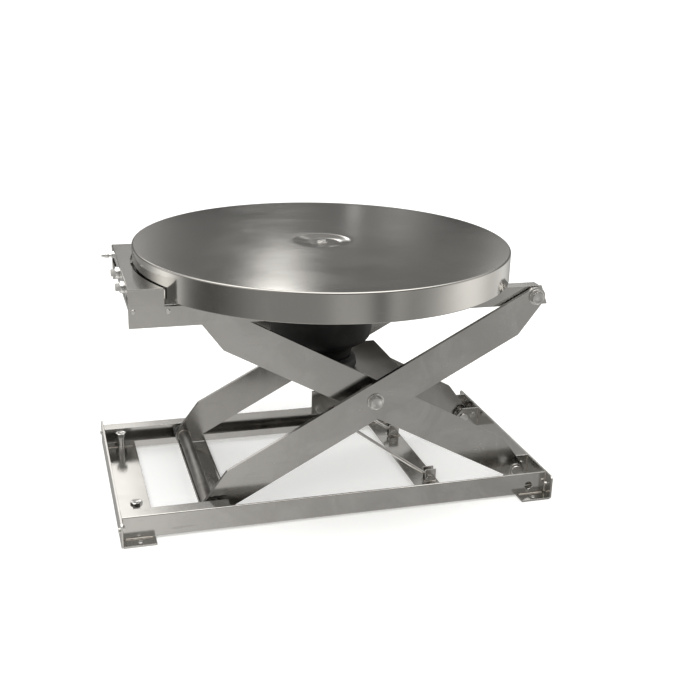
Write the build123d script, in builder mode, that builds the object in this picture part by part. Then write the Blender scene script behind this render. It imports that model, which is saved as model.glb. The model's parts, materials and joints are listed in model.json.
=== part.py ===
from build123d import *
import os
from math import acos, atan2, cos, degrees, hypot, radians, sin, sqrt

# Air-powered scissor positioner with a round turntable, raised. Millimetres, +Z up, +X along the base.
# The origin is on the floor, in the middle of the base frame.

# Base frame
base_length = 1285.0        # over the end plates
base_width = 736.0          # end plates and foot plates
base_height = 74.0
plate = 6.0                 # end plates, ears, foot plates, beams
rail_out = 329.0            # outer face of a side rail, from the middle
rail_depth = 45.0           # flange width of a side rail
rail_sheet = 5.5
rail_lip = 29.0             # top of the lip inside a rail
track_end = -335.0          # the rail's top flange stops here
cross_top = 11.0            # top of the cross plates, under the folded legs
cross_sheet = 5.0

# Scissor legs
base_pivot = (583.0, 40.0)          # X and Z of the fixed lower pivot
centre_pivot = (100.0, 328.0)
top_pivot = (583.0, 616.0)
roller_x = 2 * centre_pivot[0] - base_pivot[0]
leg_depth = 105.0
leg_plate = 12.0
leg_offset = 24.0                   # end pivots stand off the leg's middle line
leg_corner = 465.0                  # where the end taper starts, from the centre pivot
leg_end = leg_depth / 2 - leg_offset
inner_face = 220.0                  # inner leg, side nearest the middle
outer_face = 258.0                  # outer leg, side nearest the middle
shaft_r = 16.0
pin_r = 12.5
axle_r = 9.0
run = 0.06                          # radial play of a running fit
slip = 0.3                          # gap between parts that turn past each other

# Rollers
base_roller_r = 28.0
base_roller = (286.0, 322.0)        # from, to, across the machine
top_roller_r = 22.7
top_roller = (185.0, 215.0)

# Top frame
beam_out = 252.6
beam_bottom = 588.0
beam_top = 645.0
beam_left = -589.5
beam_sheet = 4.0
notch = (21.7, 583.0, 28.0)         # room for the centre shaft when lowered: X, Z, radius
box_top = 696.0
box_sheet = 4.0
box_face = 22.0                     # depth of the strip folded down along the left end
face_tab = (-80.0, 270.0, 38.0)     # deeper part that carries the buttons: middle Y, width, depth
cover_screw = ((-577.0, 635.0), (-485.0, 631.0))
deck_bottom = 700.2
deck_half = 255.0
channel_bottom = beam_top

# Turntable
disc_x = 5.0
disc_r = 555.0
disc_top = 745.5
disc_sheet = 5.0
skirt = 83.0
dish_depth = 5.5            # the middle is pressed down so that the hub bolt stays below the top
dish = (45.0, 90.0)         # radius of its floor and of its rim
race_in = 118.0
race_out = 172.0
ball_r = 5.5
ball_count = 28

# Air spring and its saddle
bag_r = 157.0
bag_wall = 7.0
saddle_top = 351.0
saddle_half = 196.0
cheek = 6.0
lug = (-49.0, 289.0)                # tie rods take hold of the saddle here
rod_foot = (312.0, 25.0)            # tie rods' lower pivot
rod_y = 177.0
rod_r = 5.0
foot_eye_r = 9.6
lug_eye_r = 13.0
eye_half = 3.5
lug_pin_r = 6.0

# Controls on the left end
button_z = 677.0
button_y = (-155.0, -5.0)
button_r = 10.5
bezel_r = 17.0
bezel_depth = 13.0
neck_r = 7.5
plug_at = (172.0, 684.0)            # Y and Z of the air plug
plug_neck_r = 7.0
manifold = (642.0, 660.0)           # from, to, in height; it lies on the tie bar

leg_length = hypot(centre_pivot[0] - base_pivot[0], centre_pivot[1] - base_pivot[1])
pivot_u = sqrt(leg_length**2 - leg_offset**2)
leg_angle = atan2(centre_pivot[1] - base_pivot[1], base_pivot[0] - centre_pivot[0]) - atan2(leg_offset, pivot_u)
end_x = base_length / 2
inner_end = end_x - plate
lip_in = rail_out - rail_depth - rail_sheet
both = (-1, 1)


def save(piece, name):
    piece.part.label = name
    export_step(piece.part, f"parts/{name}.step")


def side_plane(y):
    """A vertical plane whose sketch axes are X and Z, facing the front, at this Y."""
    return Plane(origin=(0, y, 0), x_dir=(1, 0, 0), z_dir=(0, -1, 0))


def end_plane(x):
    """A vertical plane whose sketch axes are Y and Z, facing +X."""
    return Plane(origin=(x, 0, 0), x_dir=(0, 1, 0), z_dir=(1, 0, 0))


def tangent_point(point, centre, radius, side):
    """Where the line from a point just touches a circle."""
    reach = hypot(point[0] - centre[0], point[1] - centre[1])
    angle = atan2(point[1] - centre[1], point[0] - centre[0]) + side * acos(radius / reach)
    return (centre[0] + radius * cos(angle), centre[1] + radius * sin(angle))


def leg(y, tilt, flip, holes):
    """A flat leg: straight sides, one taper and one round end round each end pivot."""
    half = leg_depth / 2
    right = (pivot_u, leg_offset * flip)
    left = (-pivot_u, -leg_offset * flip)
    low = (leg_corner, -half * flip)
    high = (-leg_corner, half * flip)
    outline = [
        high,
        (pivot_u, half * flip),
        tangent_point(low, right, leg_end, flip),
        low,
        (-pivot_u, -half * flip),
        tangent_point(high, left, leg_end, flip),
    ]
    plane = Plane(
        origin=(centre_pivot[0], -y, centre_pivot[1]),
        x_dir=(cos(tilt), 0, sin(tilt)),
        z_dir=(0, -1, 0),
    )
    with BuildPart() as piece:
        with BuildSketch(plane):
            with BuildLine():
                Polyline(*outline, close=True)
            make_face()
            with Locations(right, left):
                Circle(leg_end)
            with Locations((0, 0)):
                Circle(holes[1], mode=Mode.SUBTRACT)
            with Locations(left):
                Circle(holes[0], mode=Mode.SUBTRACT)
            with Locations(right):
                Circle(holes[2], mode=Mode.SUBTRACT)
        extrude(amount=leg_plate)
    return piece


def mirrored(piece):
    with BuildPart() as other:
        add(mirror(piece.part, about=Plane.XZ, mode=Mode.PRIVATE))
    return other


def paired(piece):
    """The piece and its mirror image on the other side of the machine, as one group."""
    with BuildPart() as pair:
        add(piece.part)
        mirror(about=Plane.XZ)
    return pair


def base_frame():
    for side, name in ((-1, "left"), (1, "right")):
        with BuildPart() as end_plate:
            with BuildSketch(end_plane(side * end_x if side < 0 else inner_end)):
                with Locations((0, base_height / 2)):
                    Rectangle(base_width, base_height)
                chamfer(vertices().group_by(Axis.Z)[-1], 5)
                with Locations((-340, 42), (340, 42)):
                    Circle(4.4, mode=Mode.SUBTRACT)
            extrude(amount=plate)
        save(end_plate, f"base_end_plate_{name}")

    with BuildPart() as rail:
        with BuildSketch(end_plane(-inner_end)):
            with BuildLine():
                Polyline(
                    (-rail_out, plate),
                    (-lip_in, plate),
                    (-lip_in, rail_lip),
                    (-lip_in - rail_sheet, rail_lip),
                    (-lip_in - rail_sheet, plate + rail_sheet),
                    (-rail_out + rail_sheet, plate + rail_sheet),
                    (-rail_out + rail_sheet, base_height),
                    (-rail_out, base_height),
                    close=True,
                )
            make_face()
        extrude(amount=2 * inner_end)
        outer_edges = edges().filter_by(Axis.X).filter_by_position(Axis.Y, -rail_out - 1, -rail_out + 1)
        fillet(outer_edges, 3)
        with BuildSketch(end_plane(-inner_end)):
            with Locations((-rail_out + rail_sheet / 2 + rail_depth / 2, base_height - rail_sheet / 2)):
                Rectangle(rail_depth - rail_sheet, rail_sheet)
        extrude(amount=inner_end + track_end)
        with BuildSketch(side_plane(-rail_out)):
            with Locations((582, 34)):
                Circle(12.5)
        extrude(amount=-rail_sheet, mode=Mode.SUBTRACT)
    save(rail, "base_rail_front")
    save(mirrored(rail), "base_rail_rear")

    foot_x = (546.0 + inner_end) / 2
    with BuildPart() as feet:
        with BuildSketch():
            with Locations(*[(sx * foot_x, sy * 326) for sx in both for sy in both]):
                Rectangle(inner_end - 546, 84)
            with Locations(*[(sx * 590, sy * 350) for sx in both for sy in both]):
                Circle(7, mode=Mode.SUBTRACT)
        extrude(amount=plate)
    save(feet, "foot_plates")

    for name, low, high in (("left", -inner_end, -540), ("centre", 262, 342)):
        with BuildPart() as cross:
            with Locations(((low + high) / 2, 0, cross_top - cross_sheet / 2)):
                Box(high - low, 2 * lip_in, cross_sheet)
        save(cross, f"cross_plate_{name}")

    with BuildPart() as trough:
        with BuildSketch(side_plane(lip_in)):
            with BuildLine():
                Polyline((-400, 1), (-310, 1), (-310, 11), (-314, 11), (-314, 5), (-396, 5), (-396, 11),
                         (-400, 11), close=True)
            make_face()
        extrude(amount=2 * lip_in)
    save(trough, "cross_channel")


def base_pivots():
    with BuildPart() as ear:
        with BuildSketch(side_plane(-197)):
            with BuildLine():
                Polyline((560, cross_top - cross_sheet), (inner_end, cross_top - cross_sheet),
                         (inner_end, base_height), (577, base_height), (556, 48), close=True)
            make_face()
            with Locations(base_pivot):
                Circle(shaft_r + run, mode=Mode.SUBTRACT)
            with Locations((615, 50)):
                Circle(6.2, mode=Mode.SUBTRACT)
        extrude(amount=plate)
    save(paired(ear), "pivot_ears")

    # The pin's shoulder keeps the leg off the ear.
    with BuildPart() as pin:
        for radius, start, end in ((shaft_r, 192, 239), (23.0, 203.2, inner_face - slip)):
            with BuildSketch(side_plane(-start)):
                with Locations(base_pivot):
                    Circle(radius)
            extrude(amount=end - start)
        chamfer(faces().sort_by(Axis.Y)[0].edges(), 1.5)
    save(paired(pin), "base_pivot_pins")

    with BuildPart() as clip:
        with BuildSketch(side_plane(-(inner_face + leg_plate + slip))):
            with Locations(base_pivot):
                Circle(22)
                Circle(shaft_r + 0.05, mode=Mode.SUBTRACT)
        extrude(amount=3)
    save(paired(clip), "pivot_pin_clips")

    with BuildPart() as keeper:
        with BuildSketch(side_plane(-196.8)):
            with Locations((615, 50)):
                RegularPolygon(9.5, 6, major_radius=False)
        extrude(amount=-6)
        with BuildSketch(side_plane(-196.8)):
            with Locations((615, 50)):
                Circle(6)
        extrude(amount=12)
    save(paired(keeper), "ear_keeper_bolts")


def stops():
    with BuildPart() as stop:
        with BuildSketch(Plane.XY.offset(cross_top)):
            with Locations((-588, -245)):
                Circle(10)
        extrude(amount=60)
        with BuildSketch(Plane.XY.offset(65)):
            with Locations((-588, -245)):
                RegularPolygon(15, 6, major_radius=False)
        extrude(amount=12.5)
        chamfer(faces().sort_by(Axis.Z)[-1].edges(), 1.5)
    save(paired(stop), "stop_bolts")

    with BuildPart() as jam:
        with BuildSketch(Plane.XY.offset(cross_top)):
            with Locations((-588, -245)):
                RegularPolygon(15, 6, major_radius=False)
                Circle(10.05, mode=Mode.SUBTRACT)
        extrude(amount=10)
    save(paired(jam), "stop_jam_nuts")

    with BuildPart() as screws:
        for side in both:
            with BuildSketch(end_plane(side * end_x)):
                with Locations((-340, 42), (340, 42)):
                    RegularPolygon(6.5, 6, major_radius=False)
            extrude(amount=side * 5)
            with BuildSketch(end_plane(side * end_x)):
                with Locations((-340, 42), (340, 42)):
                    Circle(4)
            extrude(amount=-side * 14)
    save(screws, "end_plate_screws")


def scissor_legs():
    pin_hole = shaft_r + run
    inner = leg(inner_face, -leg_angle, -1, (pin_r + 0.02, shaft_r + 0.02, pin_hole))
    save(inner, "inner_leg_front")
    save(mirrored(inner), "inner_leg_rear")
    outer = leg(outer_face, leg_angle, 1, (axle_r + 0.02, pin_hole, pin_r + 0.02))
    save(outer, "outer_leg_front")
    save(mirrored(outer), "outer_leg_rear")

    outside = outer_face + leg_plate
    with BuildPart() as shaft:
        with BuildSketch(side_plane(outside + 0.4)):
            with Locations(centre_pivot):
                Circle(shaft_r)
        extrude(amount=2 * (outside + 0.4))
    save(shaft, "centre_shaft")

    with BuildPart() as head:
        with BuildSketch(side_plane(-outside - 0.4)):
            with Locations(centre_pivot):
                Circle(25)
        extrude(amount=3)
        with BuildSketch(side_plane(-outside - 3.4)):
            with Locations(centre_pivot):
                RegularPolygon(18, 6, major_radius=False)
        extrude(amount=12)
        chamfer(faces().sort_by(Axis.Y)[0].edges(), 2)
    save(paired(head), "centre_shaft_bolts")

    with BuildPart() as spacer:
        with BuildSketch(side_plane(-(inner_face + leg_plate))):
            with Locations(centre_pivot):
                Circle(25)
                Circle(shaft_r + 0.02, mode=Mode.SUBTRACT)
        extrude(amount=outer_face - slip - inner_face - leg_plate)
    save(paired(spacer), "centre_spacers")

    with BuildPart() as tube:
        with BuildSketch(side_plane(outer_face)):
            with Locations((roller_x, base_pivot[1])):
                Circle(18.5)
                Circle(14, mode=Mode.SUBTRACT)
        extrude(amount=2 * outer_face)
    save(tube, "outer_cross_tube")

    with BuildPart() as axle:
        with BuildSketch(side_plane(-(outer_face - 8))):
            with Locations((roller_x, base_pivot[1])):
                Circle(axle_r)
        extrude(amount=base_roller[1] + 1.2 - outer_face + 8)
        with BuildSketch(side_plane(-(outer_face + leg_plate))):
            with Locations((roller_x, base_pivot[1])):
                Circle(axle_r + 4)
        extrude(amount=7.5)
    save(paired(axle), "base_roller_axles")

    with BuildPart() as bar:
        with BuildSketch(side_plane(inner_face + leg_plate + 3)):
            with Locations((roller_x, top_pivot[1])):
                Circle(pin_r)
        extrude(amount=2 * (inner_face + leg_plate + 3))
        with BuildSketch(side_plane(top_roller[0] - 0.5)):
            with Locations((roller_x, top_pivot[1])):
                Circle(pin_r + 5)
        extrude(amount=2 * (top_roller[0] - 0.5))
    save(bar, "top_roller_shaft")

    with BuildPart() as pin:
        with BuildSketch(side_plane(-(beam_out - plate - 6))):
            with Locations(top_pivot):
                Circle(pin_r)
        extrude(amount=outside - beam_out + plate + 6)
        with BuildSketch(side_plane(-(beam_out + slip))):
            with Locations(top_pivot):
                Circle(20)
        extrude(amount=outer_face - beam_out - slip)
        with BuildSketch(side_plane(-outside)):
            with Locations(top_pivot):
                Circle(23)
        extrude(amount=3)
        with BuildSketch(side_plane(-outside - 3)):
            with Locations(top_pivot):
                RegularPolygon(18, 6, major_radius=False)
        extrude(amount=12)
        chamfer(faces().sort_by(Axis.Y)[0].edges(), 2)
    save(paired(pin), "top_pivot_bolts")


def rollers():
    wheels = (
        ("base_roller", base_roller_r, base_roller, axle_r, base_pivot[1]),
        ("top_roller", top_roller_r, top_roller, pin_r, top_pivot[1]),
    )
    for name, radius, span, bore, height in wheels:
        with BuildPart() as wheel:
            with BuildSketch(side_plane(-span[0])):
                with Locations((roller_x, height)):
                    Circle(radius)
                    Circle(bore + run, mode=Mode.SUBTRACT)
            extrude(amount=span[1] - span[0])
            rims = edges().filter_by(GeomType.CIRCLE).group_by(SortBy.RADIUS)[-1]
            chamfer(rims, 1.5)
        save(wheel, f"{name}_front")
        save(mirrored(wheel), f"{name}_rear")


def top_frame():
    raised = disc_x - sqrt((disc_r + 4.5)**2 - beam_out**2)
    with BuildPart() as beam:
        with BuildSketch(side_plane(-(beam_out - plate))):
            with BuildLine():
                Polyline(
                    (beam_left, beam_bottom),
                    (628, beam_bottom),
                    (606, beam_top),
                    (raised, beam_top),
                    (raised, box_top - box_sheet),
                    (beam_left, box_top - box_sheet),
                    close=True,
                )
            make_face()
            with Locations(top_pivot):
                Circle(pin_r + run, mode=Mode.SUBTRACT)
            with Locations((notch[0], notch[1])):
                Circle(notch[2], mode=Mode.SUBTRACT)
            with Locations(*cover_screw):
                Circle(3.2, mode=Mode.SUBTRACT)
        extrude(amount=plate)
        for low, high, width in ((raised, -120, 16.0), (-120, 600, 40.0)):
            with Locations(((low + high) / 2, -beam_out + width / 2, beam_top - beam_sheet / 2)):
                Box(high - low, width, beam_sheet)
    save(beam, "top_beam_front")
    save(mirrored(beam), "top_beam_rear")

    inside = beam_out - plate
    with BuildPart() as channels:
        for x in (-432, -230, 232, 455):
            with BuildSketch(side_plane(inside)):
                with BuildLine():
                    top = deck_bottom
                    Polyline(
                        (x - 24, channel_bottom), (x + 24, channel_bottom), (x + 24, top), (x + 19, top),
                        (x + 19, channel_bottom + 5), (x - 19, channel_bottom + 5), (x - 19, top), (x - 24, top),
                        close=True,
                    )
                make_face()
            extrude(amount=2 * inside)
    save(channels, "deck_channels")

    with BuildPart() as bars:
        with BuildSketch(Plane.XY.offset(channel_bottom - 6)):
            with Locations((-458, -200)):
                Rectangle(230, 34)
        extrude(amount=6)
    save(paired(bars), "roller_track_bars")

    with BuildPart() as deck:
        with Locations((0, 0, deck_bottom + 3)):
            Box(2 * deck_half, 2 * inside, 6)
    save(deck, "deck_plate")

    with BuildPart() as tie:
        with Locations((-580, 0, 635)):
            Box(14, 2 * inside, 14)
        with BuildSketch(side_plane(inside)):
            with Locations(cover_screw[0]):
                Circle(3.02)
        extrude(amount=2 * inside, mode=Mode.SUBTRACT)
    save(tie, "control_tie_bar")

    with BuildPart() as cover:
        with BuildSketch(Plane.XY.offset(box_top - box_sheet)):
            with Locations(((beam_left - 460) / 2, 0)):
                Rectangle(-460 - beam_left, 2 * beam_out)
            with Locations((disc_x, 0)):
                Circle(disc_r + 5.5, mode=Mode.SUBTRACT)
        extrude(amount=box_sheet)
        with BuildSketch(end_plane(beam_left)):
            with Locations((0, box_top - box_face / 2)):
                Rectangle(2 * inside - 1, box_face)
            with Locations((face_tab[0], box_top - face_tab[2] / 2)):
                Rectangle(face_tab[1], face_tab[2])
            with Locations(*[(y, button_z) for y in button_y]):
                Circle(neck_r + 1.5, mode=Mode.SUBTRACT)
            with Locations(plug_at):
                Circle(plug_neck_r + 0.2, mode=Mode.SUBTRACT)
        extrude(amount=box_sheet)
        fold = edges().filter_by(Axis.Y).filter_by_position(Axis.X, beam_left - 0.1, beam_left + 0.1)
        fillet(fold.sort_by(Axis.Z)[-1], 2.5)
    save(cover, "control_cover")

    with BuildPart() as screws:
        for x, z in cover_screw:
            with BuildSketch(side_plane(-beam_out)):
                with Locations((x, z)):
                    Circle(6.5)
            extrude(amount=3.5)
            chamfer(faces().sort_by(Axis.Y)[0].edges(), 1.2)
            with BuildSketch(side_plane(-beam_out)):
                with Locations((x, z)):
                    Circle(3)
            extrude(amount=-12)
    save(paired(screws), "cover_screws")


def controls():
    face_in = beam_left + box_sheet
    valve_top = box_top - box_sheet - 1
    # A raised ring round each button, with a neck through the sheet.
    with BuildPart() as bezels:
        rings = (
            (bezel_r, button_r + slip, -bezel_depth),
            (bezel_r, neck_r, -1),
            (neck_r + 1.5, neck_r, box_sheet),
        )
        for outer, bore, thick in rings:
            with BuildSketch(end_plane(beam_left)):
                with Locations(*[(y, button_z) for y in button_y]):
                    Circle(outer)
                    Circle(bore, mode=Mode.SUBTRACT)
            extrude(amount=thick)
        chamfer(faces().group_by(Axis.X)[0].edges(), 1.2)
    save(bezels, "button_bezels")

    for name, y in zip(("lower_button", "raise_button"), button_y):
        with BuildPart() as button:
            with BuildSketch(end_plane(beam_left - 7.5)):
                with Locations((y, button_z)):
                    Circle(button_r)
            extrude(amount=-16)
            chamfer(faces().sort_by(Axis.X)[0].edges(), 1.5)
            with BuildSketch(end_plane(beam_left - 7.5)):
                with Locations((y, button_z)):
                    Circle(neck_r - 0.4)
            extrude(amount=9)
        save(button, name)

    with BuildPart() as valves:
        for y in button_y:
            with Locations((face_in + 13, y, (manifold[1] + valve_top) / 2)):
                Box(17, 30, valve_top - manifold[1])
        with Locations((-566, 0, (manifold[0] + manifold[1]) / 2)):
            Box(36, 340, manifold[1] - manifold[0])
    save(valves, "air_valves")

    # Plug of a quick coupling: hexagon, groove and long taper.
    inlet_profile = [(0, 0), (0, 11), (7, 11), (7, 6.4), (15, 6.4), (15, 9.4), (23, 9.4), (36, 5.6), (36, 0)]
    with BuildPart() as inlet:
        with BuildSketch(Plane(origin=(beam_left, *plug_at), x_dir=(-1, 0, 0), z_dir=(0, -1, 0))):
            with BuildLine():
                Polyline(*inlet_profile, close=True)
            make_face()
        revolve(axis=Axis((beam_left, *plug_at), (1, 0, 0)))
        with BuildSketch(end_plane(beam_left)):
            with Locations(plug_at):
                Circle(plug_neck_r)
        extrude(amount=16)
        with BuildSketch(end_plane(beam_left - 36)):
            with Locations(plug_at):
                Circle(3.2)
        extrude(amount=52, mode=Mode.SUBTRACT)
    save(inlet, "air_inlet")


def turntable():
    underside = disc_top - disc_sheet
    ball_z = (deck_bottom + 6 + underside) / 2
    pitch = (race_in + race_out) / 2
    spin = Axis((disc_x, 0, 0), (0, 0, 1))
    section = Plane(origin=(disc_x, 0, 0), x_dir=(1, 0, 0), z_dir=(0, -1, 0))
    for name, low, high in (
        ("bearing_lower_race", deck_bottom + 6, ball_z - 2),
        ("bearing_upper_race", ball_z + 2, underside),
    ):
        with BuildPart() as race:
            with BuildSketch(section):
                with Locations((pitch, (low + high) / 2)):
                    Rectangle(race_out - race_in, high - low)
                with Locations((pitch, ball_z)):
                    Circle(ball_r + slip, mode=Mode.SUBTRACT)
            revolve(axis=spin)
        save(race, name)

    with BuildPart() as balls:
        with Locations((disc_x, 0, ball_z)):
            with PolarLocations(pitch, ball_count):
                Sphere(ball_r)
    save(balls, "bearing_balls")

    with BuildPart() as stud:
        with Locations((disc_x, 0, deck_bottom + 6)):
            Cylinder(30, 4, align=(Align.CENTER, Align.CENTER, Align.MIN))
            Cylinder(12, 26, align=(Align.CENTER, Align.CENTER, Align.MIN))
    save(stud, "turntable_stud")

    with BuildPart() as hub:
        with BuildSketch(Plane.XY.offset(deck_bottom + 12)):
            with Locations((disc_x, 0)):
                Circle(22)
                Circle(12 + run, mode=Mode.SUBTRACT)
        extrude(amount=underside - dish_depth - deck_bottom - 12)
    save(hub, "turntable_hub")

    with BuildPart() as disc:
        with BuildSketch(section):
            with BuildLine():
                Polyline(
                    (0, disc_top - dish_depth),
                    (dish[0], disc_top - dish_depth),
                    (dish[1], disc_top),
                    (disc_r, disc_top),
                    (disc_r, disc_top - skirt),
                    (disc_r - disc_sheet, disc_top - skirt),
                    (disc_r - disc_sheet, underside),
                    (dish[1], underside),
                    (dish[0], underside - dish_depth),
                    (0, underside - dish_depth),
                    close=True,
                )
            make_face()
        revolve(axis=spin)
        fillet(edges().filter_by(GeomType.CIRCLE).group_by(Axis.Z)[-1].sort_by(SortBy.RADIUS)[-1], 4.5)
    save(disc, "turntable_disc")

    with BuildPart() as bolt:
        with Locations((disc_x, 0, disc_top - dish_depth)):
            Cylinder(17, 1.5, align=(Align.CENTER, Align.CENTER, Align.MIN))
        with BuildSketch(Plane.XY.offset(disc_top - dish_depth + 1.5)):
            with Locations((disc_x, 0)):
                RegularPolygon(12, 6, major_radius=False)
        extrude(amount=3.7)
        chamfer(faces().sort_by(Axis.Z)[-1].edges(), 1)
    save(bolt, "hub_bolt")


def air_spring():
    with BuildPart() as plate_piece:
        with Locations((92, 0, saddle_top - 3)):
            Box(300, 2 * saddle_half, 6)
    save(plate_piece, "saddle_plate")

    with BuildPart() as side:
        with BuildSketch(side_plane(-(saddle_half - cheek))):
            with BuildLine():
                Polyline((-70, saddle_top - 6), (242, saddle_top - 6), (242, 330), (132, 296), (70, 294),
                         (-28, 272), (-70, 272), close=True)
            make_face()
            with Locations(centre_pivot):
                Circle(shaft_r + run, mode=Mode.SUBTRACT)
            with Locations(lug):
                Circle(lug_pin_r + 0.02, mode=Mode.SUBTRACT)
        extrude(amount=cheek)
    save(paired(side), "saddle_cheeks")

    # The eye at the top of a tie rod has play round this pin.
    with BuildPart() as pin:
        with BuildSketch(side_plane(-(rod_y - 9))):
            with Locations(lug):
                Circle(lug_pin_r)
        extrude(amount=saddle_half + 4 - rod_y + 9)
        with BuildSketch(side_plane(-(rod_y - 13))):
            with Locations(lug):
                RegularPolygon(10, 6, major_radius=False)
        extrude(amount=5)
        with BuildSketch(side_plane(-(saddle_half + 0.1))):
            with Locations(lug):
                RegularPolygon(10, 6, major_radius=False)
        extrude(amount=8)
    save(paired(pin), "saddle_lug_bolts")

    with BuildPart() as piston:
        with BuildSketch(section_at(disc_x)):
            with BuildLine():
                Polyline((0, saddle_top), (96, saddle_top), (112, saddle_top + 12), (108, saddle_top + 34),
                         (96, saddle_top + 42), (0, saddle_top + 42), close=True)
            make_face()
        revolve(axis=Axis((disc_x, 0, 0), (0, 0, 1)))
    save(piston, "air_spring_piston")

    with BuildPart() as head:
        with Locations((disc_x, 0, deck_bottom - 6)):
            Cylinder(118, 6, align=(Align.CENTER, Align.CENTER, Align.MIN))
    save(head, "air_spring_head")

    low = saddle_top + 43
    high = deck_bottom - 6
    with BuildPart() as bag:
        with BuildSketch(section_at(disc_x)):
            with BuildLine():
                Polyline((0, low), (94, low), (104, low + 30), (138, low + 46), (bag_r, low + 74),
                         (bag_r, high - 40), (bag_r - 16, high - 12), (bag_r - 44, high), (0, high), close=True)
            make_face()
        revolve(axis=Axis((disc_x, 0, 0), (0, 0, 1)))
        offset(amount=-bag_wall, openings=faces().sort_by(Axis.Z)[-1], kind=Kind.INTERSECTION)
    save(bag, "air_spring_bellows")


def section_at(x):
    return Plane(origin=(x, 0, 0), x_dir=(1, 0, 0), z_dir=(0, -1, 0))


def tie_rods():
    length = hypot(lug[0] - rod_foot[0], lug[1] - rod_foot[1])
    along = ((lug[0] - rod_foot[0]) / length, (lug[1] - rod_foot[1]) / length)
    plane = Plane(
        origin=(rod_foot[0], -rod_y, rod_foot[1]),
        x_dir=(along[0], 0, along[1]),
        z_dir=(0, -1, 0),
    )
    with BuildPart() as rod:
        with BuildSketch(plane):
            Circle(foot_eye_r)
            with Locations((length, 0)):
                Circle(lug_eye_r)
        extrude(amount=eye_half, both=True)
        with BuildSketch(Plane(origin=plane.from_local_coords((8, 0, 0)), z_dir=plane.x_dir)):
            Circle(rod_r)
        extrude(amount=length - 20)
        with BuildSketch(plane):
            Circle(lug_pin_r + run)
            with Locations((length, 0)):
                Circle(lug_pin_r + 2)
        extrude(amount=eye_half + 3, both=True, mode=Mode.SUBTRACT)
    save(paired(rod), "tie_rods")

    with BuildPart() as bracket:
        with Locations((rod_foot[0] + 4, -rod_y, cross_top + 2)):
            Box(46, 28, 4)
        for start in (-rod_y - 14, -rod_y + 9):
            with BuildSketch(side_plane(start + 5)):
                with Locations((rod_foot[0] + 4, 31)):
                    Rectangle(34, 40)
                with Locations(rod_foot):
                    Circle(lug_pin_r + 0.02, mode=Mode.SUBTRACT)
            extrude(amount=5)
    save(paired(bracket), "tie_rod_brackets")

    with BuildPart() as bolt:
        with BuildSketch(side_plane(-(rod_y - 18))):
            with Locations(rod_foot):
                Circle(lug_pin_r)
        extrude(amount=36)
        for start in (rod_y + 14.1, rod_y - 19):
            with BuildSketch(side_plane(-start)):
                with Locations(rod_foot):
                    RegularPolygon(9.5, 6, major_radius=False)
            extrude(amount=4.8)
    save(paired(bolt), "tie_rod_bolts")


os.makedirs("parts", exist_ok=True)
base_frame()
base_pivots()
stops()
scissor_legs()
rollers()
top_frame()
controls()
turntable()
air_spring()
tie_rods()
print("leg tilt", round(degrees(leg_angle), 3), "leg half length", round(leg_length, 2))
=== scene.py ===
import bpy
import json
import math
import numpy as np
from mathutils import Matrix, Vector

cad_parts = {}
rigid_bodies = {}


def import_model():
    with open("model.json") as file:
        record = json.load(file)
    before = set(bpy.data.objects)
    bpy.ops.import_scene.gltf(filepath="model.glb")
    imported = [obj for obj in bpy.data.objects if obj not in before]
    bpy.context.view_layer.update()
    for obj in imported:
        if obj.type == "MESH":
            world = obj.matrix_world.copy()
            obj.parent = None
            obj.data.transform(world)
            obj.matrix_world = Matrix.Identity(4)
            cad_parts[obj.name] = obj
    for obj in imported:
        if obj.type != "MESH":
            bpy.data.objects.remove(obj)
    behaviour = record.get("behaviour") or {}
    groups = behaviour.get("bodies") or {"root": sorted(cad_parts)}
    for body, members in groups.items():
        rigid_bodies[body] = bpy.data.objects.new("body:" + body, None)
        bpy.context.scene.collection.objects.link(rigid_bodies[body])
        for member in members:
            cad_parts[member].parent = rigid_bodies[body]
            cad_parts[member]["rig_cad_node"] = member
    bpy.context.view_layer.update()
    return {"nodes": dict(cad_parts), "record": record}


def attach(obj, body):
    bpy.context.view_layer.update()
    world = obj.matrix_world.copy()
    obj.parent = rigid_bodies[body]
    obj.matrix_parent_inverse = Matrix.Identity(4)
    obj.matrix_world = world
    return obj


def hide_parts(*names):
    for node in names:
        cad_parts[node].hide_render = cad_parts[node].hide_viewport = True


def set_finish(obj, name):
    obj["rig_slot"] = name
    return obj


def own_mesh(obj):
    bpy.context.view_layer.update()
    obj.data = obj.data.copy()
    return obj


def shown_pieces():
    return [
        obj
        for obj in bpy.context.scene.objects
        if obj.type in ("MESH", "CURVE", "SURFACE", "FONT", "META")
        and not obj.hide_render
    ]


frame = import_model()
scene = bpy.context.scene
print("frame loaded:", len(frame["nodes"]), "nodes")


# Camera and room

cameraPlace = {
    "at": (-0.813638, -2.987588, 1.488066),
    "yaw": 0.297, "pitch": 0.337, "roll": 0.030,
    "focal": 1069.645 / 700 * 36, "sensor": 36,  # mm
    "clipEnd": 1000,
}


def makeCamera(place):
    yaw, pitch, roll = place["yaw"], place["pitch"], place["roll"]
    ahead = Vector((math.sin(yaw) * math.cos(pitch), math.cos(yaw) * math.cos(pitch), -math.sin(pitch)))
    level = Vector((math.cos(yaw), -math.sin(yaw), 0))
    lift = level.cross(ahead)
    right = math.cos(roll) * level + math.sin(roll) * lift
    up = -math.sin(roll) * level + math.cos(roll) * lift
    data = bpy.data.cameras.new("camera")
    data.lens = place["focal"]
    data.sensor_width = place["sensor"]
    data.clip_end = place["clipEnd"]
    camera = bpy.data.objects.new("camera", data)
    scene.collection.objects.link(camera)
    turn = Matrix((right, up, -ahead)).transposed()
    camera.matrix_world = Matrix.Translation(place["at"]) @ turn.to_4x4()
    scene.camera = camera


makeCamera(cameraPlace)
scene.view_settings.view_transform = "Standard"
print("camera set")


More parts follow.
